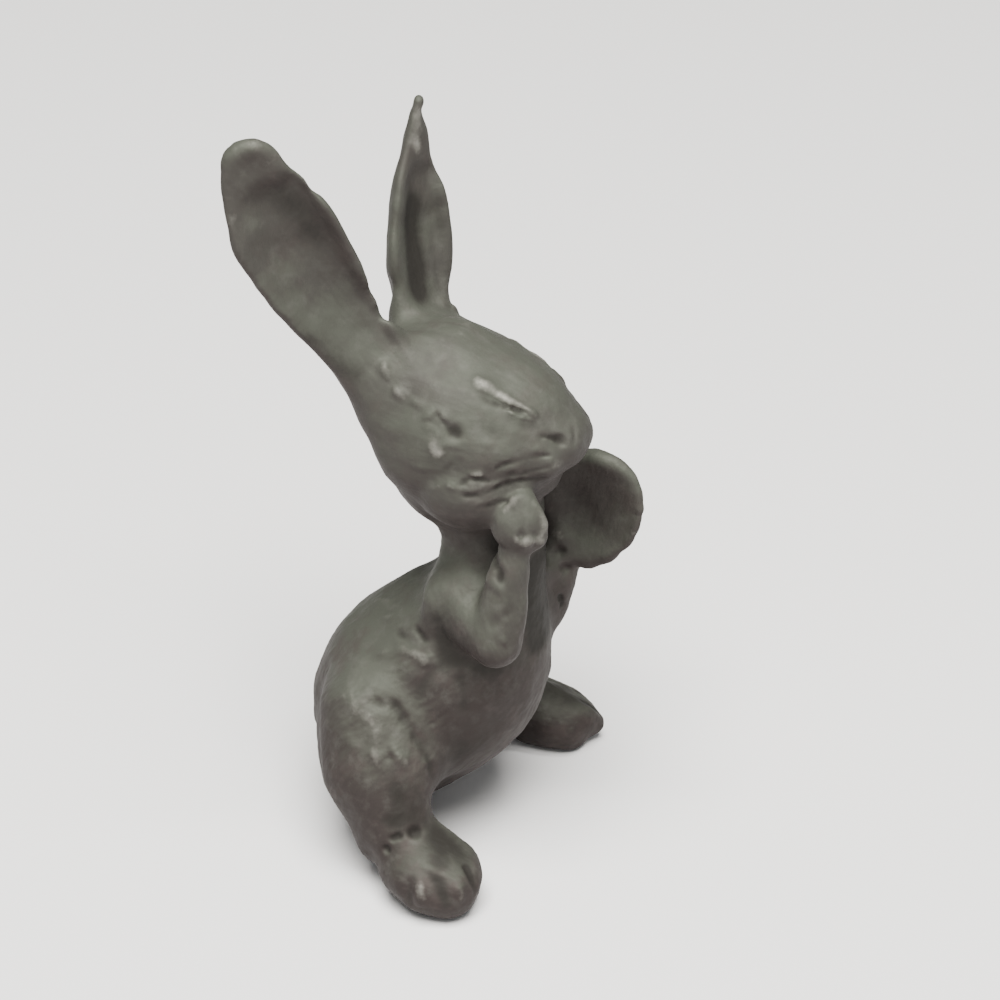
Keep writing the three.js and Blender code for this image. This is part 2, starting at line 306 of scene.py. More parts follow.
def wandering(count, share):
    """Factors round one that wander by about that share."""
    turns = hand.normal(1, share, count // steadiness + 2)
    factors = np.interp(np.arange(count) / steadiness, np.arange(len(turns)), turns)
    return np.clip(factors, least_factor, most_factor)


def laid_marks(part, marks):
    """Width, amount and places of every mark, on each casting of that kind and on both its sides.

    On a casting in the middle, a mark that touches or crosses the middle line is made once, and its
    places out count towards the figure's right.
    """
    for name in [name for name in names if name.endswith(part)]:
        middle = middle_of(name)
        side = 1 if middle[0] > 0 else -1
        for width, amount, *path in marks.values():
            path = np.array(path) / 10
            both = abs(middle[0]) < beside and path[:, 0].min() > 0
            for way in (-1, 1) if both else (side,):
                path_here = middle + path * (way, -1, 1)
                places = settled(path_here, width / 2) if len(path) > 1 else on_skin(path_here)
                ends = np.minimum(np.arange(len(places)), np.arange(len(places))[::-1])
                yield width, amount * np.minimum(1, end_height + end_rise * ends), places
    print(f"{part}, {len(marks)} marks:", ", ".join(marks))


def mark_wear_and_light(part, marks):
    """Notes wear and painted highlight, or dirt and painted shade below zero."""
    for width, amounts, places in laid_marks(part, marks):
        wear_and_light_marks.append((places, width, amounts * wandering(len(places), uneven_height)))


def push(part, marks):
    """Presses broad, even strokes in."""
    for width, heights, places in laid_marks(part, marks):
        strokes.append((places, np.full(len(places), width), heights))


def tool(part, marks):
    """Presses named strokes in.

    Raised ones are noted as wear and painted highlight, sunk ones as dirt and painted shade.
    """
    for width, heights, places in laid_marks(part, marks):
        heights = heights * wandering(len(places), uneven_height)
        strokes.append((places, width * wandering(len(places), uneven_width), heights))
        # raised strokes are painted brighter and sunk ones darker: wear and dirt, and painted
        # highlight and shade
        wear_and_light_marks.append((places, width, np.clip(heights / full_rub, -most_dirt_and_shade, 1)))


print("the middle of the head is at", middle_of("head").round(1), "mm")

# %% [markdown]
# The strokes become a field of their own, which is taken from the figure's. Along one stroke the
# highest bell counts, so that close places don't dig deeper than one, and different strokes add up.
# How far a place is painted brighter or darker, as wear and dirt and as painted highlight and
# shade, is blended from the noted places around it.

# %% Turn strokes into relief
hill = 2.2  # widths that a stroke reaches
hardly_any = 1e-9  # keeps the sum of the weights above zero


def wear_and_painted_light(points):
    """How far each point is painted brighter, or darker below zero.

    The brightness is wear and painted highlight, the darkness dirt and painted shade.
    """
    total = np.zeros(len(points))
    for places, width, amounts in wear_and_light_marks:
        low, high = places.min(axis=0) - hill * width, places.max(axis=0) + hill * width
        near = np.nonzero(((points > low) & (points < high)).all(axis=1))[0]
        if len(near):
            away = np.linalg.norm(points[near, None] - places, axis=2) / width
            nearness = np.exp(-(away**2)) + hardly_any
            total[near] += nearness.max(axis=1) * (nearness @ amounts) / nearness.sum(axis=1)
    return total


def relief(start, spacing, size):
    """How far all strokes lift the skin, on the points of a lattice."""
    lift = np.zeros(size, np.float32)
    for places, widths, heights in strokes:
        reached = hill * widths.max()
        low = np.floor((places.min(axis=0) - reached) / spacing - start).astype(int)
        high = np.ceil((places.max(axis=0) + reached) / spacing - start).astype(int) + 1
        low, high = np.maximum(low, 0), np.minimum(high, size)
        if (low >= high).any():
            continue
        one = np.zeros(high - low, np.float32)
        for place, width, height in zip(places / spacing - start - low, widths, heights):
            radius = hill * width / spacing
            ends = [(int(c - radius), int(c + radius) + 2) for c in place]
            near = [np.arange(max(0, a), min(b, n)) for (a, b), n in zip(ends, one.shape)]
            if not all(len(row) for row in near):
                continue
            rows = [np.exp(-(((row - c) * spacing / width) ** 2)) for row, c in zip(near, place)]
            bell = abs(height) * rows[0][:, None, None] * rows[1][:, None] * rows[2]
            part = tuple(slice(row[0], row[-1] + 1) for row in near)
            one[part] = np.maximum(one[part], bell)
        lift[tuple(map(slice, low, high))] += math.copysign(1, heights[0]) * one
    return lift


print(f"a stroke 1 mm wide reaches {hill} mm to either side")

# %% [markdown]
# The castings are lofted from a few round sections, and the real figure isn't so regular. Wide,
# shallow strokes pull its outline in or out first. On the ears and the head they make the notch
# between the ears, a fuller outer edge, a forehead that falls straight and a flat nape.

# %% Correct the forms of the ears and the head
push("right_ear", {
    "flat rim": (1.0, -0.2, (8, -10, 95), (10, 2, 89), (11, 9, 84)),
    "flat rim near tip": (1.0, -0.3, (18, -26, 120), (16, -18, 114), (11, -12, 103)),
    "full outer rim": (1.0, 0.2, (50, -54, 50), (48, -50, 37), (47, -46, 27)),
    "slim outer side": (1.0, -0.15, (49, -63, 117), (47, -66, 93), (49, -62, 76)),
    "slim inner side": (1.1, -0.3, (-17, 36, -1), (-23, 36, -16), (-28, 40, -28)),
    "notch": (0.9, -1.3, (-29, 43, -35), (-33, 44, -43), (-40, 45, -49), (-46, 45, -52)),
    "full outer edge": (1.3, 0.15, (40, -36, 17), (31, -25, -11), (19, -9, -39)),
    "high tip": (1.0, 0.35, (42, -55, 129), (38, -42, 133), (32, -32, 130)),
})
push("left_ear", {
    "slim inner side": (0.9, -0.2, (26, -19, 107), (19, -22, 82), (13, -28, 36), (-4, -26, -3)),
    "hooked tip": (0.6, 0.35, (32, -9, 121), (27, -5, 116)),
    "thin tip": (0.6, -0.25, (30, -15, 118), (26, -16, 110)),
    "notch": (0.9, -0.6, (-27, -16, -34), (-19, -19, -56), (-22, -18, -65)),
    "slim outer side": (0.6, -0.15, (32, -6, 117), (34, -5, 98)),
    "full outer side": (0.8, 0.2, (39, 3, 40), (37, 12, 9), (35, 16, -19), (27, 17, -44)),
})
push("head", {
    "flat crown": (1.5, -0.4, (42, -20, 75), (40, 0, 70)),
    "straight forehead": (2.2, -0.3, (42, 44, 54), (40, 54, 47), (36, 68, 36), (26, 84, 24)),
    "nose": (1.2, 0.2, (16, 98, 10), (15, 98, -3)),
    "flat nape": (2.0, -0.6, (52, -76, -25), (44, -70, -49), (62, -50, -47)),
    "under the nape": (1.3, -0.2, (50, -61, -49), (45, -49, -70)),
    "neck": (1.5, 0.35, (44, -49, -69), (42, -28, -80), (34, -22, -96), (19, -26, -119)),
})

# %% [markdown]
# The back of the real figure is hollow behind the shoulders and lean at the loins, and its rump is
# full. The forelegs and the far forepaw are corrected with it.

# %% Correct the forms of the body and the forelegs
push("trunk", {
    "shoulder hollow": (2.8, -1.0, (-59, -19, 49), (-30, -6, 76), (0, 3, 87), (30, -6, 76),
        (59, -19, 49)),
    "lean back": (2.2, -0.25, (26, -31, 58), (31, -46, 40)),
    "lean loins": (2.2, -0.3, (32, -94, -24), (2, -87, 3), (-13, -69, 23), (-9, -39, 51),
        (-38, -22, 50)),
    "low withers": (2.2, -0.35, (-29, -58, 29), (-24, -42, 46), (-20, -26, 57), (-18, -6, 73)),
    "nape corner": (1.2, -0.35, (14, 11, 90)),
    "low far shoulder": (1.5, -0.7, (-54, -10, 49), (-52, -17, 45), (-44, -24, 45)),
    "full rump": (1.5, 0.2, (37, -101, -60), (39, -99, -80), (78, -78, -70)),
    "full near shoulder": (1.6, 0.45, (41, 23, 95), (60, 25, 90), (69, 25, 78)),
    "rump front": (1.4, -0.6, (18, 6, -169), (2, 7, -167)),
    "rump side": (1.5, -0.5, (27, 10, -162), (43, 25, -136), (55, 50, -103)),
    "high chest": (1.0, 0.4, (-4, 104, 108), (-3, 104, 99)),
    "high crotch": (1.4, -0.5, (42, 29, -131), (27, 12, -161), (-2, 4, -174)),
    "under the belly": (1.4, -0.35, (16, 19, -152), (20, 34, -136)),
    "hock inside": (1.3, -0.7, (108, 48, -93), (102, 42, -108)),
    "elbow corner": (1.0, 0.3, (-22, 104, -22)),
})
push("left_forepaw", {
    "high rim": (1.0, 0.5, (2, -1, 61), (-7, 11, 61), (-7, 25, 58)),
    "round corner": (0.9, -0.25, (-6, 34, -31), (-10, 29, -35)),
    "lower edge": (1.0, -0.25, (-14, -2, -52), (-13, 9, -49)),
    "full front edge": (0.9, 0.15, (-5, 45, 34), (-6, 46, 24)),
    "full heel": (0.8, 0.35, (-14, -38, -35), (-15, -37, -41), (-20, -35, -47)),
    "drawn-in heel": (1.3, -0.35, (-13, -7, -57), (-4, 4, -57), (-8, 19, -45)),
})
push("right_foreleg", {
    "flat upper arm": (1.2, -0.4, (7, -32, -8), (12, -23, -18), (19, -10, -27), (25, 7, -36)),
})
push("left_foreleg", {
    "full wrist": (0.9, 0.5, (-18, 22, 33), (-23, 24, 26)),
    "full forearm": (1.0, 0.25, (-1, 35, -9), (-3, 29, -28), (-12, 27, -34)),
})

# %% [markdown]
# The shins and hocks are slimmer than round sections make them, and the feet are flat towards the
# toes. These corrections go into the figure at once, and the finer strokes are laid on that skin.

# %% Correct the forms of the hind legs and the feet
push("hind_leg", {
    "slim shin": (1.8, -0.8, (-61, 46, -46), (-40, 48, -42), (-21, 50, -38), (-9, 59, -41)),
    "slim hock": (1.8, -0.3, (35, -10, -25), (39, 3, -46), (40, 17, -68)),
})
push("hind_foot", {
    "flat toes": (1.2, -0.4, (-26, 38, 0), (-19, 43, -10), (-7, 45, -17), (4, 42, -24)),
    "narrow heel": (1.3, -0.5, (6, -46, -15), (6, -43, -20), (30, -23, -15)),
})
push("right_hind_foot", {
    "round instep": (1.2, 0.55, (-31, -11, 33), (-31, 2, 24), (-29, 15, 20), (-30, 25, 11)),
    "flat inner side": (1.0, -0.3, (-16, 41, -9), (0, 45, -11)),
    "full heel": (0.9, 0.15, (4, -53, 0), (13, -45, 0)),
})
push("right_hind_leg", {
    "slim heel side": (1.4, -0.25, (10, -37, -29), (20, -23, -41), (23, -12, -54)),
    "full ankle": (0.9, 0.3, (28, 10, -73), (32, 3, -64)),
})
push("left_hind_foot", {
    "far instep": (1.0, -0.35, (30, -8, 11), (34, 0, 7), (43, 6, -1)),
    "low instep": (1.6, -0.75, (13, -1, 26), (15, 14, 22), (17, 30, 15), (31, 35, -3)),
    "lower instep": (1.4, -0.8, (16, -6, 20), (29, 5, 11), (22, 25, 9), (24, 37, -1)),
    "full toes": (1.0, 0.3, (12, 46, -6), (8, 45, -19)),
    "full sole": (1.0, 0.2, (-24, -12, -24), (-29, 10, -22), (-19, 31, -23)),
    "blunt toes": (1.0, 0.5, (10, 45, -17), (4, 46, -18)),
})
figure -= relief(first, cell, figure.shape)
strokes.clear()
print(f"the corrected figure fills {(figure < 0).sum() * cell**3:.0f} cubic mm")

# %% [markdown]
# The eyes are shut. A thick brow slopes from the temple to the nose with a slit under it, and a
# thinner lid lies below the slit. Behind it the cheek is smooth and slightly hollow.

# %% Tool the brows and the eyes
tool("head", {
    "brow root": (0.5, 0.24, (42, 14, 65), (43, 20, 63)),
    "brow back": (0.75, 0.28, (42, 21, 62), (41, 28, 59), (41, 35, 55)),
    "brow middle": (0.42, 0.32, (40, 36, 55), (40, 44, 51), (39, 50, 48)),
    "brow front": (0.3, 0.3, (38, 54, 47), (36, 60, 43), (34, 67, 38)),
    "slit": (0.24, -0.28, (47, 34, 51), (45, 43, 48), (42, 51, 45), (38, 60, 42)),
    "lower lid": (0.24, 0.2, (46, 47, 44), (45, 52, 42), (43, 59, 39), (38, 66, 35)),
    "lid fold": (0.4, -0.1, (51, 48, 39), (47, 59, 34), (39, 70, 29)),
    "eye corner": (0.5, -0.2, (47, 23, 55), (48, 29, 52), (48, 35, 49)),
    "hollow cheek": (1.5, -0.3, (63, 24, 38), (59, 38, 32), (52, 54, 24)),
})

# %% [markdown]
# The cheek carries a whorl of fur: two tufts with a curling groove between them that ends in a pit,
# and a round lump behind the pit. Smaller tufts run from there up to the root of the ear and down
# along the jaw.

# %% Tool the fur of the cheeks
tool("head", {
    "whorl": (0.26, -0.15, (70, -10, 42), (72, -3, 37), (73, 3, 30), (73, 8, 28)),
    "pit": (0.44, -0.9, (71, 6, 28), (71, 9, 27)),
    "rear tuft": (0.36, 0.26, (73, -18, 38), (71, -13, 42)),
    "front tuft": (0.34, 0.24, (70, -7, 43), (71, -1, 39)),
    "rear pit ridge": (0.3, 0.12, (76, -19, 31), (76, -11, 30), (76, -4, 25)),
    "lower pit ridge": (0.4, 0.1, (77, 2, 18), (76, 10, 17)),
    "lump": (0.62, 0.5, (80, -10, 16), (80, -5, 11)),
    "ear tuft": (0.45, 0.38, (58, -63, 73), (62, -58, 62)),
    "temple tufts": (0.4, 0.3, (65, -50, 55), (67, -42, 49)),
    "lower temple tuft": (0.38, 0.26, (68, -34, 48), (69, -26, 47)),
    "jaw tuft": (0.36, 0.14, (80, -12, -27), (81, 1, -19), (81, 13, -20)),
    "jaw groove": (0.34, -0.1, (79, 0, -7), (78, 8, 1), (77, 15, 4)),
    "rear jaw tuft": (0.4, 0.12, (81, -27, -7), (81, -17, -9)),
    "upper lock": (0.36, 0.3, (75, 25, -8), (73, 31, -7)),
    "upper cut": (0.24, -0.24, (80, 16, -17), (77, 22, -12), (73, 29, -12), (70, 38, -14)),
    "middle lock": (0.26, 0.14, (80, 20, -21), (77, 28, -21), (73, 35, -18)),
    "middle cut": (0.24, -0.24, (81, 21, -26), (76, 32, -25), (71, 39, -23), (64, 46, -20)),
    "front lock": (0.24, 0.2, (68, 41, -18), (63, 47, -15)),
    "lower lock": (0.26, 0.14, (78, 31, -33), (73, 39, -31), (67, 45, -29)),
    "lower cut": (0.24, -0.18, (74, 37, -36), (68, 45, -35), (63, 53, -34)),
})

# %% [markdown]
# Each side of the muzzle is a round pad. Two deep whisker folds and a shallow one run back from
# it, and above it the nostril is a comma-shaped cut under a thin wing.

# %% Tool the muzzle
tool("head", {
    "pad": (0.9, 0.35, (41, 78, 7), (37, 86, -3)),
    "pad top": (0.42, 0.24, (47, 72, 11), (43, 75, 12)),
    "upper whisker fold": (0.22, -0.2, (67, 44, -2), (62, 52, 2), (48, 71, 5), (39, 81, 4)),
    "skin between": (0.22, 0.08, (63, 50, -5), (57, 61, -2), (48, 71, -1)),
    "lower whisker fold": (0.22, -0.24, (60, 54, -10), (55, 62, -10), (49, 69, -8), (42, 81, -6)),
    "shallow whisker fold": (0.26, -0.12, (61, 49, -19), (54, 60, -17), (45, 70, -18),
        (41, 79, -16)),
    "nostril start": (0.2, -0.5, (38, 74, 21), (34, 79, 19), (31, 83, 17)),
    "nostril": (0.3, -1.0, (30, 83, 16), (27, 87, 13)),
    "nostril tail": (0.24, -0.2, (26, 88, 12), (25, 90, 8)),
    "nose wing": (0.36, 0.12, (35, 76, 26), (28, 82, 23), (23, 90, 18)),
    "nose cleft": (0.3, -0.12, (13, 93, 22), (18, 95, 15), (22, 96, 8)),
})

# %% [markdown]
# The near forepaw is folded over like a mitten, with a ragged row of fingertips, and the elbow
# below it is a heavy lobe with a fold on top. The far forepaw is a cup with a rolled rim, a thumb
# and a casting pit.

# %% Tool the forelegs and the forepaws
tool("right_forepaw", {
    "rear edge": (0.45, 0.2, (13, -15, 3), (10, -14, 13), (5, -8, 21), (1, -1, 28)),
    "front edge": (0.4, 0.26, (-3, 12, 23), (-3, 19, 13), (-4, 22, 0)),
    "first finger": (0.42, 0.24, (17, -2, -2), (14, 3, -6)),
    "other fingers": (0.42, 0.26, (12, 8, -10), (8, 14, -8), (0, 20, -11)),
    "finger gap": (0.22, -0.12, (13, 6, -8), (13, 7, 2)),
    "second gap": (0.22, -0.12, (6, 15, -11), (6, 16, -1)),
})
tool("right_foreleg", {
    "forearm slit": (0.4, -0.35, (-3, 14, 46), (2, 20, 41), (9, 27, 36), (11, 29, 30)),
    "elbow fold": (0.4, 0.18, (4, 15, 27), (10, 20, 24), (13, 30, 22)),
    "elbow crease": (0.5, -0.1, (24, 25, -13), (20, 33, -4), (14, 42, 3)),
    "elbow edge": (0.55, 0.14, (3, 48, 10), (5, 48, -10), (15, 45, -30), (24, 35, -44)),
    "knob": (0.3, 0.22, (22, 37, -22), (22, 39, -27)),
})
tool("left_forepaw", {
    "rolled rim": (0.4, 0.1, (-5, 12, 61), (-6, 30, 56), (-6, 42, 43), (-7, 46, 21), (-9, 43, -4)),
    "lower rim": (0.5, 0.12, (-9, 43, -4), (-11, 33, -22), (-13, 16, -36)),
    "thumb": (0.9, 0.45, (-10, -29, -17), (-12, -27, -24)),
    "pit": (0.34, -0.4, (-15, -28, -38), (-15, -25, -37)),
    "palm": (1.6, -0.35, (-9, -16, 26), (-10, -12, 2), (-11, -6, -14)),
})
tool("left_foreleg", {
    "fur": (0.3, -0.28, (-16, 32, 3), (-13, 35, -9)),
    "wrist": (0.35, -0.22, (-13, 33, 31), (-12, 40, 28)),
})

# %% [markdown]
# The thigh ends in a crease against the belly, and worn tufts stand on the knee, along the haunch
# and on the flank. The hock has a few casting pits, and each hind foot has three toes.

# %% Tool the hind legs, the feet and the flanks
tool("hind_leg", {
    "thigh crease": (0.45, -0.26, (-10, 17, 71), (-7, 28, 57), (-5, 41, 42), (-5, 52, 23),
        (-3, 58, 1)),
    "crease back": (0.5, -0.2, (-3, 1, 69), (-5, 11, 69), (-9, 18, 69)),
    "knee": (0.9, 0.2, (6, 4, 56), (12, 11, 45)),
    "knee tuft": (0.6, 0.28, (20, 12, 32), (24, 18, 25)),
    "inner knee tuft": (0.5, 0.16, (12, 25, 36), (13, 33, 30), (14, 39, 23)),
    "knee gap": (0.4, -0.14, (11, 17, 43), (15, 23, 35), (19, 26, 26)),
    "haunch": (0.9, 0.18, (-8, -28, 73), (-1, -18, 69), (3, -3, 63)),
    "haunch tuft": (0.7, 0.16, (14, -19, 42), (20, -7, 35)),
    "shin": (0.8, -0.12, (23, 30, 15), (29, 36, -3), (33, 39, -16)),
    "upper pit": (0.3, -0.5, (41, 38, -36), (39, 42, -34)),
    "inner pit": (0.32, -0.6, (32, 52, -33), (30, 54, -33)),
    "lower pit": (0.3, -0.5, (45, 33, -46), (46, 35, -47)),
    "pit groove": (0.5, -0.08, (39, 28, -23), (35, 38, -22)),
})
tool("hind_foot", {
    "toe arch": (0.45, 0.2, (24, 4, 21), (22, 16, 18), (20, 29, 14)),
    "toe gap": (0.7, -0.26, (25, 12, 17), (30, 19, 10), (36, 28, -4)),
    "inner gap": (0.45, -0.35, (4, 34, 16), (9, 42, 8), (11, 45, -2)),
    "outer toe": (0.6, 0.32, (34, 2, 13), (41, 7, -4)),
    "middle toe": (0.5, 0.3, (23, 33, 10), (27, 38, 0)),
    "outer gap": (0.5, -0.25, (37, -8, 10), (40, -5, -10)),
})
tool("trunk", {
    "flank tufts": (0.55, 0.28, (78, 1, 33), (80, 15, 33), (81, 27, 31)),
    "upper flank cut": (0.4, -0.15, (70, -5, 43), (75, 9, 41)),
    "small flank tuft": (0.5, 0.18, (78, -20, 21), (77, -11, 27)),
    "fore flank cut": (0.35, -0.22, (72, 16, 51), (76, 25, 45)),
    "lower flank tuft": (0.45, 0.15, (84, 24, 25), (81, 34, 30)),
    "belly edge": (0.8, -0.14, (94, 25, -8), (89, 28, 6), (84, 37, 20), (77, 52, 28)),
    "belly fold": (0.5, -0.2, (77, 60, 13), (78, 63, -1), (79, 63, -14)),
    "chest side": (1.0, -0.24, (76, 31, 76), (78, 41, 59), (77, 44, 35)),
    "back fur": (0.5, 0.18, (19, -56, 35), (38, -28, 55)),
    "more back fur": (0.5, 0.18, (50, -30, 44), (58, -6, 58)),
})

# %% [markdown]
# Handling has polished what stands out, and the rest has stayed dull. These spots have no stroke of
# their own. Bright spots on the tips and rims of the ears, on the crown and the brows, the cheek
# lumps, the fingertips, the knees and the toes are wear and painted highlights. Dark spots in the
# ears, under the jaw, in the cupped paw, in the pits, between the forelegs and along the folds of
# the belly are dirt and painted shade.

# %% Paint the worn and lit spots, and the dirty and shaded ones
# Amounts above zero are wear and painted highlight, amounts below zero dirt and painted shade.
mark_wear_and_light("right_ear", {
    "under the tip": (1.5, 0.45, (46, -46, 122), (35, -30, 116)),
    "tip": (2.2, 0.32, (46, -53, 129), (41, -39, 133), (32, -27, 124)),
    "outer rim": (0.8, 0.4, (50, -56, 90), (52, -51, 66), (50, -45, 43)),
    "lower side": (1.8, -0.3, (23, -20, 3), (7, 0, -24), (-5, 21, -50)),
    "under the rim": (1.1, -1.0, (20, -9, -44), (11, 5, -59), (3, 20, -75), (-1, 32, -84)),
    "inside": (1.9, -0.8, (29, -33, 96), (14, -12, 70), (-3, 9, 29), (-16, 30, -16)),
})
mark_wear_and_light("left_ear", {
    "tip": (1.1, 0.45, (30, -10, 118), (26, -9, 108)),
    "inner strip": (0.7, -0.5, (6, -15, 68), (-9, -12, 42)),
    "streak": (0.8, 1.2, (23, -8, 109), (21, -8, 95), (17, -9, 83)),
    "streak end": (0.6, 0.5, (20, -7, 80), (25, -9, 56)),
    "outer strip": (0.8, 0.3, (35, 4, 23), (25, 4, -16), (17, 12, -45)),
    "inside": (1.6, -2.4, (9, -9, 25), (2, -4, -11), (-10, 3, -43)),
})
mark_wear_and_light("head", {
    "crown": (2.4, 0.35, (29, -49, 89), (20, -27, 86), (5, -10, 85)),
    "forehead": (0.9, 0.3, (23, 55, 52), (15, 69, 44), (10, 80, 33)),
    "brow back": (0.7, 0.8, (43, 17, 63), (42, 28, 59), (41, 38, 54)),
    "brow front": (0.4, 0.35, (39, 42, 52), (38, 52, 48), (35, 63, 41)),
    "cheek": (1.4, 0.3, (63, 27, 32), (56, 39, 34)),
    "lump": (0.75, 1.1, (81, -8, 17), (82, -4, 11)),
    "behind the eye": (0.6, -0.15, (45, 25, 53), (47, 33, 49)),
    "pit": (0.5, -0.3, (70, 6, 28), (70, 9, 27)),
    "jaw": (0.7, -0.15, (77, 5, -2), (76, 12, 3)),
    "upper lock": (0.5, 0.4, (76, 25, -7), (74, 31, -6)),
    "lower jaw": (0.6, 0.25, (83, -9, -24), (83, 8, -18)),
    "nostril": (0.4, -0.5, (32, 78, 18), (26, 86, 12)),
    "nose side": (0.7, -0.3, (16, 93, 18), (23, 95, 8)),
    "under the jaw": (1.8, -0.35, (74, 8, -61), (50, 17, -83), (76, 32, -40)),
})
mark_wear_and_light("right_forepaw", {
    "rear edge": (0.5, 0.7, (11, -10, 17), (7, -4, 25)),
    "front edge": (0.5, 0.6, (0, 19, 15), (0, 22, -2)),
    "fingertips": (0.6, 0.5, (17, 2, -2), (12, 13, -6), (4, 21, -8)),
})
# The slit beside the paw and the sides of the forearm and the elbow are painted shade.
mark_wear_and_light("right_foreleg", {
    "slit": (0.6, -0.6, (-23, 8, 50), (-23, 10, 40), (-3, 18, 38), (7, 27, 32)),
    "behind the elbow": (1.2, -0.6, (12, -26, -21), (16, -15, -33), (18, -3, -42)),
    "elbow side": (1.6, -0.6, (30, 12, -28), (22, 28, -40)),
    "forearm": (1.2, -0.9, (4, 37, 51), (9, 40, 31), (14, 38, 12)),
    "under the elbow": (0.9, -0.5, (5, -9, -67), (-7, 13, -78), (-27, 28, -76)),
})
mark_wear_and_light("left_foreleg", {
    "forearm": (1.0, -0.35, (-18, 33, 10), (-20, 30, -21), (-36, 32, -42)),
})
mark_wear_and_light("left_forepaw", {
    "palm": (1.8, 0.3, (-11, -16, 40), (-2, -16, 5), (-8, -12, -22)),
    "hollow": (1.2, -0.5, (-11, -22, 46), (-8, -22, 20), (-8, -20, -5)),
})
# The chest between the forelegs, the belly and the side behind the elbow are painted shade.
mark_wear_and_light("trunk", {
    "behind the elbow": (1.4, -0.5, (74, 32, 65), (73, 44, 48), (74, 53, 36)),
    "neck": (1.2, -0.25, (47, 54, 128), (48, 67, 119)),
    "chest": (1.6, -2.0, (9, 105, 102), (8, 104, 66), (13, 105, 28)),
    "low belly": (1.6, -0.55, (90, 50, -71), (76, 58, -67), (64, 73, -60)),
    "flank": (0.8, 0.5, (81, 6, 32), (81, 19, 35), (82, 28, 32)),
    "belly": (2.6, -0.3, (92, 46, -49), (74, 67, -39), (51, 91, -21)),
    "belly side": (2.4, -0.2, (73, 39, 47), (81, 51, 13)),
})
mark_wear_and_light("hind_leg", {
    "haunch": (1.0, 0.4, (0, -19, 72), (5, -10, 67), (4, -2, 64)),
    "knee": (0.9, 0.35, (10, 7, 55), (16, 12, 41)),
    "knee tuft": (0.8, 0.85, (23, 15, 32), (25, 18, 27)),
    "shin": (1.8, -0.9, (21, 44, 4), (24, 49, -14), (34, 40, -23)),
    "hock": (0.8, -0.35, (38, 30, -25), (33, 45, -26)),
})
mark_wear_and_light("hind_foot", {
    "outer toe": (0.8, 0.1, (37, 4, 13), (42, 7, -2)),
    "middle toe": (0.6, 0.1, (24, 35, 10), (28, 38, 1)),
    "toe gap": (0.9, -0.5, (26, 16, 13), (35, 26, -4)),
    "instep": (1.8, -1.1, (11, 12, 23), (-13, 3, 29), (-5, 24, 20), (8, 37, 11)),
})

# %% [markdown]
# The figure is still an assembly, so each casting keeps its own closed piece. A piece takes the
# figure's skin where its casting is the nearest one. It follows the same skin for a hair's breadth
# past the seam, then dips below its neighbour's skin and ends there. Its field is sampled again at
# the spacing that its detail needs. The wax was never quite even, so a slow seeded noise dents it.

# %% Prepare the lattices of the pieces
shared = 0.3  # mm of skin past a seam that both pieces have
overlap = 0.9  # mm past a seam at which a piece ends
dip = 0.5  # mm that it sinks with each mm
spacings = {
    "trunk": 0.18, "head": 0.137, "ear": 0.14, "foreleg": 0.12,
    "forepaw": 0.1, "hind_leg": 0.14, "hind_foot": 0.12, "tail": 0.12,
}
dent = 0.035  # mm
dent_size = 0.8  # mm
dents = blurred(hand.standard_normal(figure.shape, np.float32), dent_size)
dents /= dents.std()


def resampled(field, spacing, size):
    """The field between its own points, on a finer lattice with the same first point."""
    for axis in range(3):
        at = spacing * np.arange(size[axis]) / cell
        below = np.minimum(at.astype(int), field.shape[axis] - 2)
        share = (at - below).astype(np.float32).reshape([-1 if a == axis else 1 for a in range(3)])
        field = (1 - share) * np.take(field, below, axis) + share * np.take(field, below + 1, axis)
    return field


print(f"most dents are under {2 * dent} mm deep, and they are about {2 * dent_size} mm wide")

# %% [markdown]
# The strokes are added to the field of a piece, the dents strengthen or weaken them a little, and
# nothing goes below the table. A mesher then lays even square faces over the field. Each corner
# remembers how sharply the skin curves outwards there, how much metal stands around it, and how far
# it is marked bright or dark, because old pewter is bright on its ridges and black in its hollows,
# and because the marks also carry painted highlights and painted shade.

# %% Work out the skin of a piece
uneven_strokes = 0.3
fine = 0.3  # mm over which a sharp ridge is felt
broad = 0.9  # mm over which a swelling is felt
around = 2.4  # mm over which the metal around a place is felt
solid = 0.6  # mm from the skin at which metal or air counts as full
crowding = blurred(np.clip(figure[::2, ::2, ::2], -solid, solid), around / 2)


def remembered_ridge(skin, width, corners, level, start, spacing):
    """How far the skin stands out over its own average of that width."""
    average = blurred(skin, width * cell / spacing)
    return (sampled(average, corners, start, spacing) - level) / width


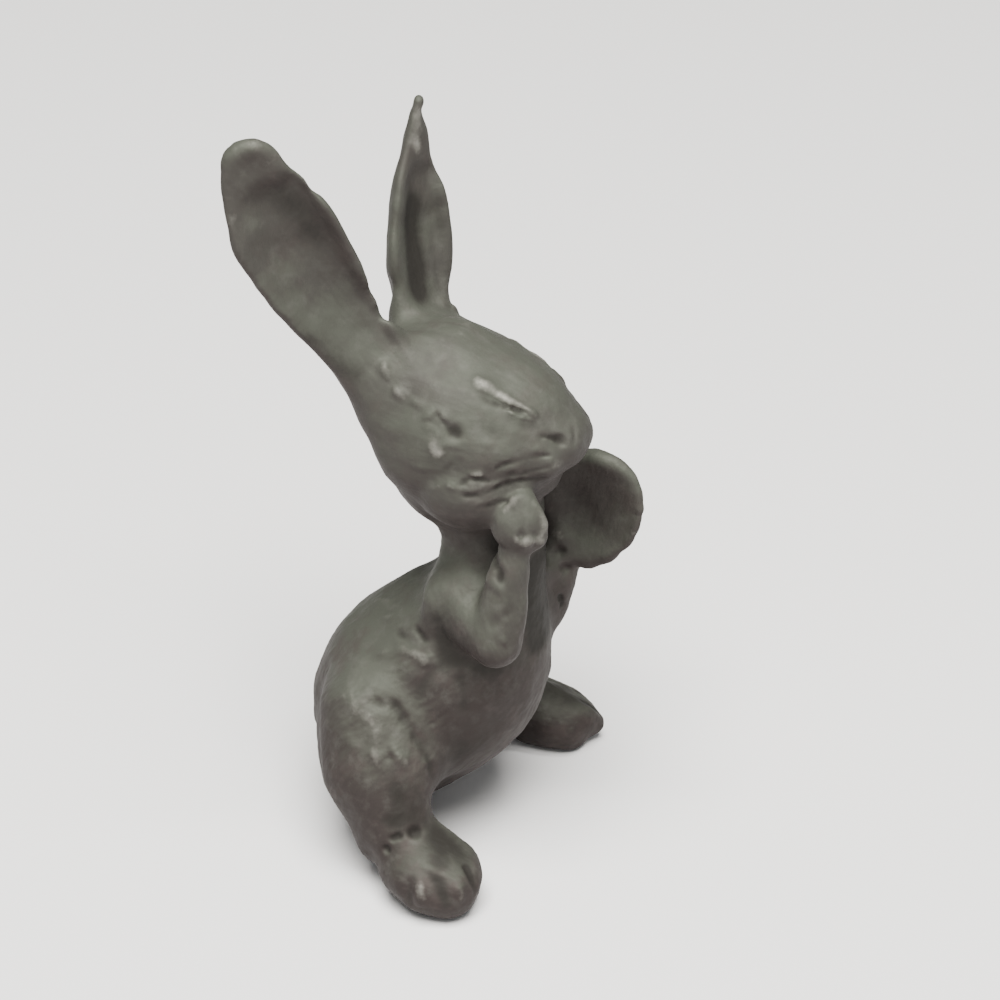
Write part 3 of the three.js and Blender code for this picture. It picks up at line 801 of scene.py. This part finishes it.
def piece_skin(name, spacing):
    """The corners and faces of one closed piece, and what each corner remembers."""
    low, high = (np.array(corner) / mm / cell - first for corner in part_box(name))
    low = np.maximum(np.floor(low - border / 2 / cell), 0).astype(int)
    high = np.ceil(high + border / 2 / cell).astype(int) + 1
    part = tuple(slice(a, b) for a, b in zip(low, high))
    others = np.minimum.reduce([distance[n][part] for n in names if n != name])
    size = ((high - low - 1) * cell / spacing).astype(int)
    start = (low + first) * cell / spacing
    here = resampled(dents[part], spacing, size)
    lift = relief(start, spacing, size) * (1 + uneven_strokes * here) + dent * here
    skin = resampled(figure[part], spacing, size) - lift
    height = ((low[2] + first[2]) * cell + spacing * np.arange(size[2])).astype(np.float32)
    skin = np.maximum(skin, -height)
    past_seam = resampled(distance[name][part] - others, spacing, size)
    grid = openvdb.FloatGrid(reach)
    sunk = skin + dip * np.maximum(past_seam - shared, 0)
    grid.copyFromArray(np.maximum(sunk, past_seam - overlap))
    grid.transform = openvdb.createLinearTransform(spacing)
    corners, triangles, quads = grid.convertToPolygons()
    corners = corners + (low + first) * cell
    level = sampled(skin, corners, start, spacing)
    memory = {
        "ridge": remembered_ridge(skin, fine, corners, level, start, spacing),
        "swell": remembered_ridge(skin, broad, corners, level, start, spacing),
        "open": sampled(crowding, corners, first / 2, 2 * cell),
        "seam": sampled(past_seam, corners, start, spacing),
        # how far the marks paint the corner brighter or darker: wear and dirt, and painted
        # highlight and shade
        "wear_and_painted_light": wear_and_painted_light(corners),
    }
    return corners, triangles, quads, memory


print(f"the metal is felt {around} mm around each corner")

# %% [markdown]
# Blender can take a whole mesh at once when its corners and faces are handed over as flat lists,
# which is far quicker than adding them one by one. The corners' memory becomes attributes.

# %% Cut the figure into pieces
def made_mesh(name, corners, triangles, quads, memory):
    """A smooth mesh in metres that carries its corners' memory as attributes."""
    mesh = bpy.data.meshes.new(name)
    mesh.vertices.add(len(corners))
    mesh.vertices.foreach_set("co", (corners * mm).astype(np.float32).ravel())
    loops = np.concatenate([quads.ravel(), triangles.ravel()]).astype(np.int32)
    mesh.loops.add(len(loops))
    mesh.loops.foreach_set("vertex_index", loops)
    sides = np.repeat([4, 3], [len(quads), len(triangles)])
    starts = np.cumsum(sides) - sides
    mesh.polygons.add(len(starts))
    mesh.polygons.foreach_set("loop_start", starts.astype(np.int32))
    mesh.polygons.foreach_set("use_smooth", np.ones(len(starts), bool))
    mesh.update(calc_edges=True)
    for key, values in memory.items():
        attribute = mesh.attributes.new(key, "FLOAT", "POINT")
        attribute.data.foreach_set("value", values.astype(np.float32))
    return mesh


skins = {}
for name in names:
    spacing = next(size for part, size in spacings.items() if name.endswith(part))
    skins[name] = made_mesh(name + "_skin", *piece_skin(name, spacing))
    print(f"{name}: {len(skins[name].polygons)} faces")

# %% [markdown]
# The coat and the finish of the metal are both built from nodes. A small class wraps a socket, so
# that node maths can be written as sums, and one method makes every other kind of node.

# %% A way to write node maths
def node_in(tree, kind, inputs=(), **settings):
    """A node of that kind with its settings made first and then its sockets filled or linked."""
    node = tree.nodes.new(kind)
    for key, value in settings.items():
        setattr(node, key, value)
    for key, value in dict(inputs).items():
        if isinstance(value, Value):
            tree.links.new(value.socket, node.inputs[key])
        else:
            node.inputs[key].default_value = value
    return node


def operator(operation, reflected=False):
    """An operator on values that adds a Math node."""
    if reflected:
        return lambda self, other: self.maths(operation, other, self)
    return lambda self, other: self.maths(operation, self, other)


class Value:
    """A socket of a node tree with overloaded operators."""

    def __init__(self, socket):
        self.socket = socket

    def node(self, kind, inputs=(), output=0, **settings):
        """What another node of the same tree gives, from its type, its sockets and settings."""
        return Value(node_in(self.socket.id_data, kind, inputs, **settings).outputs[output])

    def maths(self, operation, one, other):
        """The result of a Math node."""
        return self.node("ShaderNodeMath", {0: one, 1: other}, operation=operation)

    __add__ = __radd__ = operator("ADD")
    __mul__ = __rmul__ = operator("MULTIPLY")
    __sub__, __rsub__ = operator("SUBTRACT"), operator("SUBTRACT", reflected=True)
    __truediv__, __rtruediv__ = operator("DIVIDE"), operator("DIVIDE", reflected=True)

    def vector(self, operation, inputs=(), output="Vector"):
        """The result of a Vector Math node on this vector."""
        inputs = {0: self, **dict(inputs)}
        return self.node("ShaderNodeVectorMath", inputs, output, operation=operation)

    def scaled(self, factor):
        """This vector, that many times as long."""
        return self.vector("SCALE", {"Scale": factor})

    def rise(self):
        """The vertical part of this vector."""
        return self.node("ShaderNodeSeparateXYZ", {"Vector": self}, "Z")

    def between(self, low, high, interpolation_type="SMOOTHSTEP"):
        """Zero below low, one above high, and a rise between them."""
        inputs = {"Value": self, "From Min": low, "From Max": high}
        return self.node("ShaderNodeMapRange", inputs, interpolation_type=interpolation_type)

    def noise(self, seed, scale, detail, roughness):
        """A noise from about zero to one, at this place."""
        inputs = {"Vector": self, "W": seed, "Scale": scale, "Detail": detail}
        inputs["Roughness"] = roughness
        return self.node("ShaderNodeTexNoise", inputs, noise_dimensions="4D")

    def mix(self, one, other):
        """The first colour where this value is zero and the other where it is one."""
        one, other = (c if isinstance(c, Value) else (*c, 1) for c in (one, other))
        inputs = {0: self, 6: one, 7: other}
        return self.node("ShaderNodeMix", inputs, 2, data_type="RGBA", clamp_factor=True)


print("reflected operators:", ", ".join(key for key in vars(Value) if key.startswith("__r")))

# %% [markdown]
# Between the tooled tufts the skin isn't smooth: the maker dragged a wire brush along the lay of
# the coat. That follows the surface, so Geometry Nodes make it. The tree stretches a noise along
# the lay and lifts the skin by it, with named inputs for the lay, the size of a stroke and its
# depth. The lift fades out at the table and at a seam, where two pieces share one skin.

# %% Brush the coat with Geometry Nodes
patches_per_metre = 260  # each about 4 mm wide
patch_strength = 3.5
seam_fade = (-0.9, -0.1)  # mm from the seam, inside the piece
table_fade = 0.8 * mm  # above the table
brush_inputs = {
    "Geometry": "Geometry", "Lay": "Vector", "Length": "Float", "Width": "Float",
    "Depth": "Float", "Seed": "Float", "Finish": "Material",
}

brush = bpy.data.node_groups.new("brushed_coat", "GeometryNodeTree")
brush.interface.new_socket("Geometry", in_out="OUTPUT", socket_type="NodeSocketGeometry")
for title, kind in brush_inputs.items():
    brush.interface.new_socket(title, in_out="INPUT", socket_type="NodeSocket" + kind)
given = {socket.name: Value(socket) for socket in node_in(brush, "NodeGroupInput").outputs}
skin = given["Geometry"]
place = skin.node("GeometryNodeInputPosition")
outward = skin.node("GeometryNodeInputNormal")
seam = skin.node("GeometryNodeInputNamedAttribute", {"Name": "seam"}, data_type="FLOAT")
lay = given["Lay"].vector("NORMALIZE")
along = place.vector("DOT_PRODUCT", {1: lay}, "Value")
narrow = place.vector("SUBTRACT", {1: lay.scaled(along)}).scaled(1 / given["Width"])
long = lay.scaled(along / given["Length"])
lengthened = narrow.vector("ADD", {1: long})
hairs = lengthened.noise(given["Seed"], scale=1, detail=2, roughness=0.55)
patches = place.noise(given["Seed"], patches_per_metre, detail=1, roughness=0.5)
clear = 1 - seam.between(*seam_fade, "LINEAR")
off_table = place.rise().between(0, table_fade, "LINEAR")
height = (hairs - 0.5) * given["Depth"] * (patches * patch_strength) * (clear * off_table)
lifted = skin.node("GeometryNodeSetPosition", {"Geometry": skin, "Offset": outward.scaled(height)})
whole = lifted.node("GeometryNodeRealizeInstances", {"Geometry": lifted})
coated = whole.node("GeometryNodeSetMaterial", {"Geometry": whole, "Material": given["Finish"]})
node_in(brush, "NodeGroupOutput", {"Geometry": coated})
print("coat tree of", len(brush.nodes), "nodes")

# %% [markdown]
# The metal is old lead-rich pewter. Freshly cast it is silver grey, but it dulls to a dark, matt
# grey-brown, and then handling polishes the ridges again while dirt stays in the hollows. Thin
# blotches of green and of pinkish brown lie over it. The colour also holds painted light: the tops
# are lighter, the undersides and low parts carry painted shade, and the marks carry painted
# highlights and painted shade. The finish is built from the corners' memory and from noises on
# Object coordinates: blotches of tarnish 5 to 9 mm across, clouds of 1 to 3 mm that break them up,
# and the grain of the cast skin, under 1 mm, which only changes the light.

# %% Mix the pewter
pewter = bpy.data.materials.new("aged_pewter")
pewter.use_nodes = True
tree = pewter.node_tree
finish = tree.nodes["Principled BSDF"]
here = Value(node_in(tree, "ShaderNodeTexCoord").outputs["Object"])


def cloud(size, seed, detail=3):
    """A noise whose clouds are about that many millimetres across."""
    return here.noise(seed, 1 / (size * mm), detail, 0.6)


def remembered(name):
    """A value that every corner carries."""
    return here.node("ShaderNodeAttribute", output="Fac", attribute_name=name)


# The darkest colour is patina and painted shade, the green and pale colours are lighter on top as
# painted light, the under colour is painted shade, and the worn colour is wear and painted
# highlight.
dark_patina_and_shade_pewter = (0.0142, 0.0127, 0.0108)
dull_pewter = (0.047, 0.045, 0.04)
green_tarnish_and_top_light = (0.06, 0.0635, 0.052)
pink_tarnish = (0.05, 0.0395, 0.037)
painted_underside_shade = (0.0295, 0.0235, 0.0222)
pale_bloom_and_top_light = (0.098, 0.097, 0.087)
worn_and_highlight_pewter = (0.21, 0.204, 0.182)

ridge = remembered("ridge")
marked_wear_and_light = remembered("wear_and_painted_light")
crowded = 0 - remembered("open")
upward = here.node("ShaderNodeNewGeometry", output="Normal").rise()
low = 1 - here.rise().between(0, 40 * mm)

# Worn metal lies on sharp ridges and in chance specks; the marked bright spots add wear
# and painted highlights.
wear_and_highlight = (marked_wear_and_light * 0.6 + ridge * 0.4 + cloud(1.3, 3) * 1.3 - 0.87).between(0.05, 0.95)
# Dark patina lies where metal crowds around, unless the place stands out or is marked bright;
# the marked dark spots add dirt and painted shade.
patina_and_shade = crowded * 0.4 - marked_wear_and_light * 0.8 - ridge * 0.9 - remembered("swell") * 0.3
patina_and_shade = (patina_and_shade + cloud(1.4, 5, 4) * 0.5 - 0.24).between(0.0, 0.95) * 0.95
# Green tarnish lies in blotches and is lighter on top as painted light. Brown is painted shade
# underneath and low down. Pink lies mostly low down, and a pale bloom mostly on top, where it is
# partly painted light.
green_and_top_light = (upward * 0.3 + cloud(9, 1) + cloud(2.2, 4) * 0.4).between(0.6, 0.95)
underside_shade = (low * 0.8 + 0.62 - upward + cloud(2.5, 9) * 0.35).between(0.4, 1.4)
pink = (cloud(5, 2) * 0.7 + cloud(1.2, 7) * 0.5).between(0.58, 0.78) * (low * 0.35 + 0.3)
bloom_and_top_light = cloud(1.3, 21, 5).between(0.48, 0.72) * (upward.between(-0.5, 0.6) * 0.22 + 0.06)
colour = green_and_top_light.mix(dull_pewter, green_tarnish_and_top_light)
colour = underside_shade.mix(colour, painted_underside_shade)
colour = pink.mix(colour, pink_tarnish)
colour = bloom_and_top_light.mix(colour, pale_bloom_and_top_light)
colour = patina_and_shade.mix(colour, dark_patina_and_shade_pewter)
colour = wear_and_highlight.mix(colour, worn_and_highlight_pewter)
rough = 0.6 + cloud(0.8, 11) * 0.14 - wear_and_highlight * 0.14 + patina_and_shade * 0.1
metal = 0.35 + wear_and_highlight * 0.3 - patina_and_shade * 0.3
grain = cloud(0.28, 13, 4) * 0.6 + cloud(0.9, 17) * 0.4
bumps = here.node("ShaderNodeBump", {"Height": grain, "Strength": 0.5, "Distance": 0.08 * mm})
sockets = {"Base Color": colour, "Roughness": rough, "Metallic": metal, "Normal": bumps}
for title, value in sockets.items():
    tree.links.new(value.socket, finish.inputs[title])
finish.inputs["Specular IOR Level"].default_value = 0.2
print("pewter of", len(tree.nodes), "nodes")

# %% [markdown]
# The coat lies backwards and down on the body, backwards on the head, and along the ears, and the
# brush bit deeper on the back than on the paws. Each skin is brushed and baked to a plain mesh, and
# then it stands for its casting. The whole figure is one rigid lump of metal, so every piece rides
# on the same body.

# %% Brush, bake and place the pieces
lays = {
    "trunk": ((0, 0.8, -0.6), 0.1),
    "head": ((0, 1, 0.1), 0.05),
    "right_ear": ((-0.25, 0.4, 0.9), 0.07),
    "left_ear": ((0.2, 0.1, 1), 0.07),
    "foreleg": ((0, 0.3, 1), 0.1),
    "forepaw": ((0, -0.2, 1), 0.06),
    "hind_leg": ((0, 0.5, -0.85), 0.1),
    "hind_foot": ((0, -1, 0), 0.08),
    "tail": ((0, 1, -0.3), 0.16),
}
coat = {"Length": 2.4 * mm, "Width": 0.6 * mm, "Seed": 4.0, "Finish": pewter}
items = brush.interface.items_tree
identifiers = {item.name: item.identifier for item in items if item.in_out == "INPUT"}
scene = bpy.context.scene
faces = 0
for name in names:
    piece = bpy.data.objects.new(name + "_skin", skins[name])
    scene.collection.objects.link(piece)
    piece.data.materials.append(pewter)
    modifier = piece.modifiers.new("coat", "NODES")
    modifier.node_group = brush
    lay, depth = next(both for part, both in lays.items() if name.endswith(part))
    for title, value in {"Lay": lay, "Depth": depth * mm, **coat}.items():
        modifier[identifiers[title]] = value
    bpy.context.view_layer.update()
    evaluated = piece.evaluated_get(bpy.context.evaluated_depsgraph_get())
    baked = bpy.data.meshes.new_from_object(evaluated)
    piece.modifiers.clear()
    piece.data = baked
    baked.name = name + "_skin"
    faces += len(baked.polygons)
    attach(piece, "root")
    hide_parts(name)
print(f"{len(names)} pieces, {faces} faces in all")

# %% [markdown]
# The photograph looks down on the figure from its right, a little ahead of the side. The
# camera stands 350 mm away, and aims beside the figure because the photograph has it left of the
# middle. The lens is the one that shows the figure at the size it has there.

# %% Set up the camera
azimuth = math.radians(-68)
elevation = math.radians(30)
camera_distance = 350 * mm
sensor = 36  # mm
lens = 136.8  # mm
beside_the_middle = Vector((15, 1.53, -10.46)) * mm
aim = Vector(cad_box[0]).lerp(Vector(cad_box[1]), 0.5) + beside_the_middle
level = Vector((math.sin(azimuth), -math.cos(azimuth), 0))
back = level * math.cos(elevation) + Vector((0, 0, math.sin(elevation)))
camera = bpy.data.objects.new("camera", bpy.data.cameras.new("camera"))
camera.data.sensor_width = sensor
camera.data.lens = lens
camera.data.clip_start = 0.01
camera.location = aim + back * camera_distance
camera.rotation_euler = back.to_track_quat("Z", "Y").to_euler()
scene.collection.objects.link(camera)
scene.camera = camera
print(f"camera {camera_distance / mm:.0f} mm from its aim, with a {lens} mm lens")

# %% [markdown]
# The light is soft and comes from above. A broad lamp hangs high over the figure, a little to the
# viewer's side, a weak one fills from beside the camera, and the pale room lights the rest.

# %% Light the figure on a pale floor
lamp_target = Vector((0, 0, 35)) * mm
room_grey = 0.28
floor_grey = 0.8
half_floor = 2  # m


def lamp(name, place, size, energy, colour=(1, 1, 1)):
    """An area lamp at a place in metres that faces the figure."""
    light = bpy.data.objects.new(name, bpy.data.lights.new(name, "AREA"))
    light.data.energy = energy
    light.data.size = size
    light.data.color = colour
    light.location = place
    light.rotation_euler = (light.location - lamp_target).to_track_quat("Z", "Y").to_euler()
    scene.collection.objects.link(light)


lamp("key", (-0.18, -0.07, 0.58), size=0.4, energy=13.3, colour=(1, 0.98, 0.94))
lamp("fill", (-0.5, -0.35, 0.3), size=0.5, energy=0.6)

world = bpy.data.worlds.new("pale_room")
scene.world = world
world.use_nodes = True
world.node_tree.nodes["Background"].inputs["Color"].default_value = (*[room_grey] * 3, 1)

corners = [(half_floor * x, half_floor * y, 0) for x, y in ((-1, -1), (1, -1), (1, 1), (-1, 1))]
floor_mesh = bpy.data.meshes.new("floor")
floor_mesh.from_pydata(corners, [], [(0, 1, 2, 3)])
floor = bpy.data.objects.new("floor", floor_mesh)
scene.collection.objects.link(floor)
paint = bpy.data.materials.new("pale_paint")
paint.use_nodes = True
matt = paint.node_tree.nodes["Principled BSDF"].inputs
matt["Base Color"].default_value = (*[floor_grey] * 3, 1)
matt["Roughness"].default_value = 0.9
floor_mesh.materials.append(paint)
floor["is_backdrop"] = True
print("floor", 2 * half_floor, "m wide")

# %% [markdown]
# Last, the size of the dressed figure is printed next to the size of the castings, so that the two
# can be compared.

# %% Print the sizes and finish
boxes = [[list(corner) for corner in box] for box in (cad_box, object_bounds())]
print("castings", boxes[0], "figure", boxes[1])
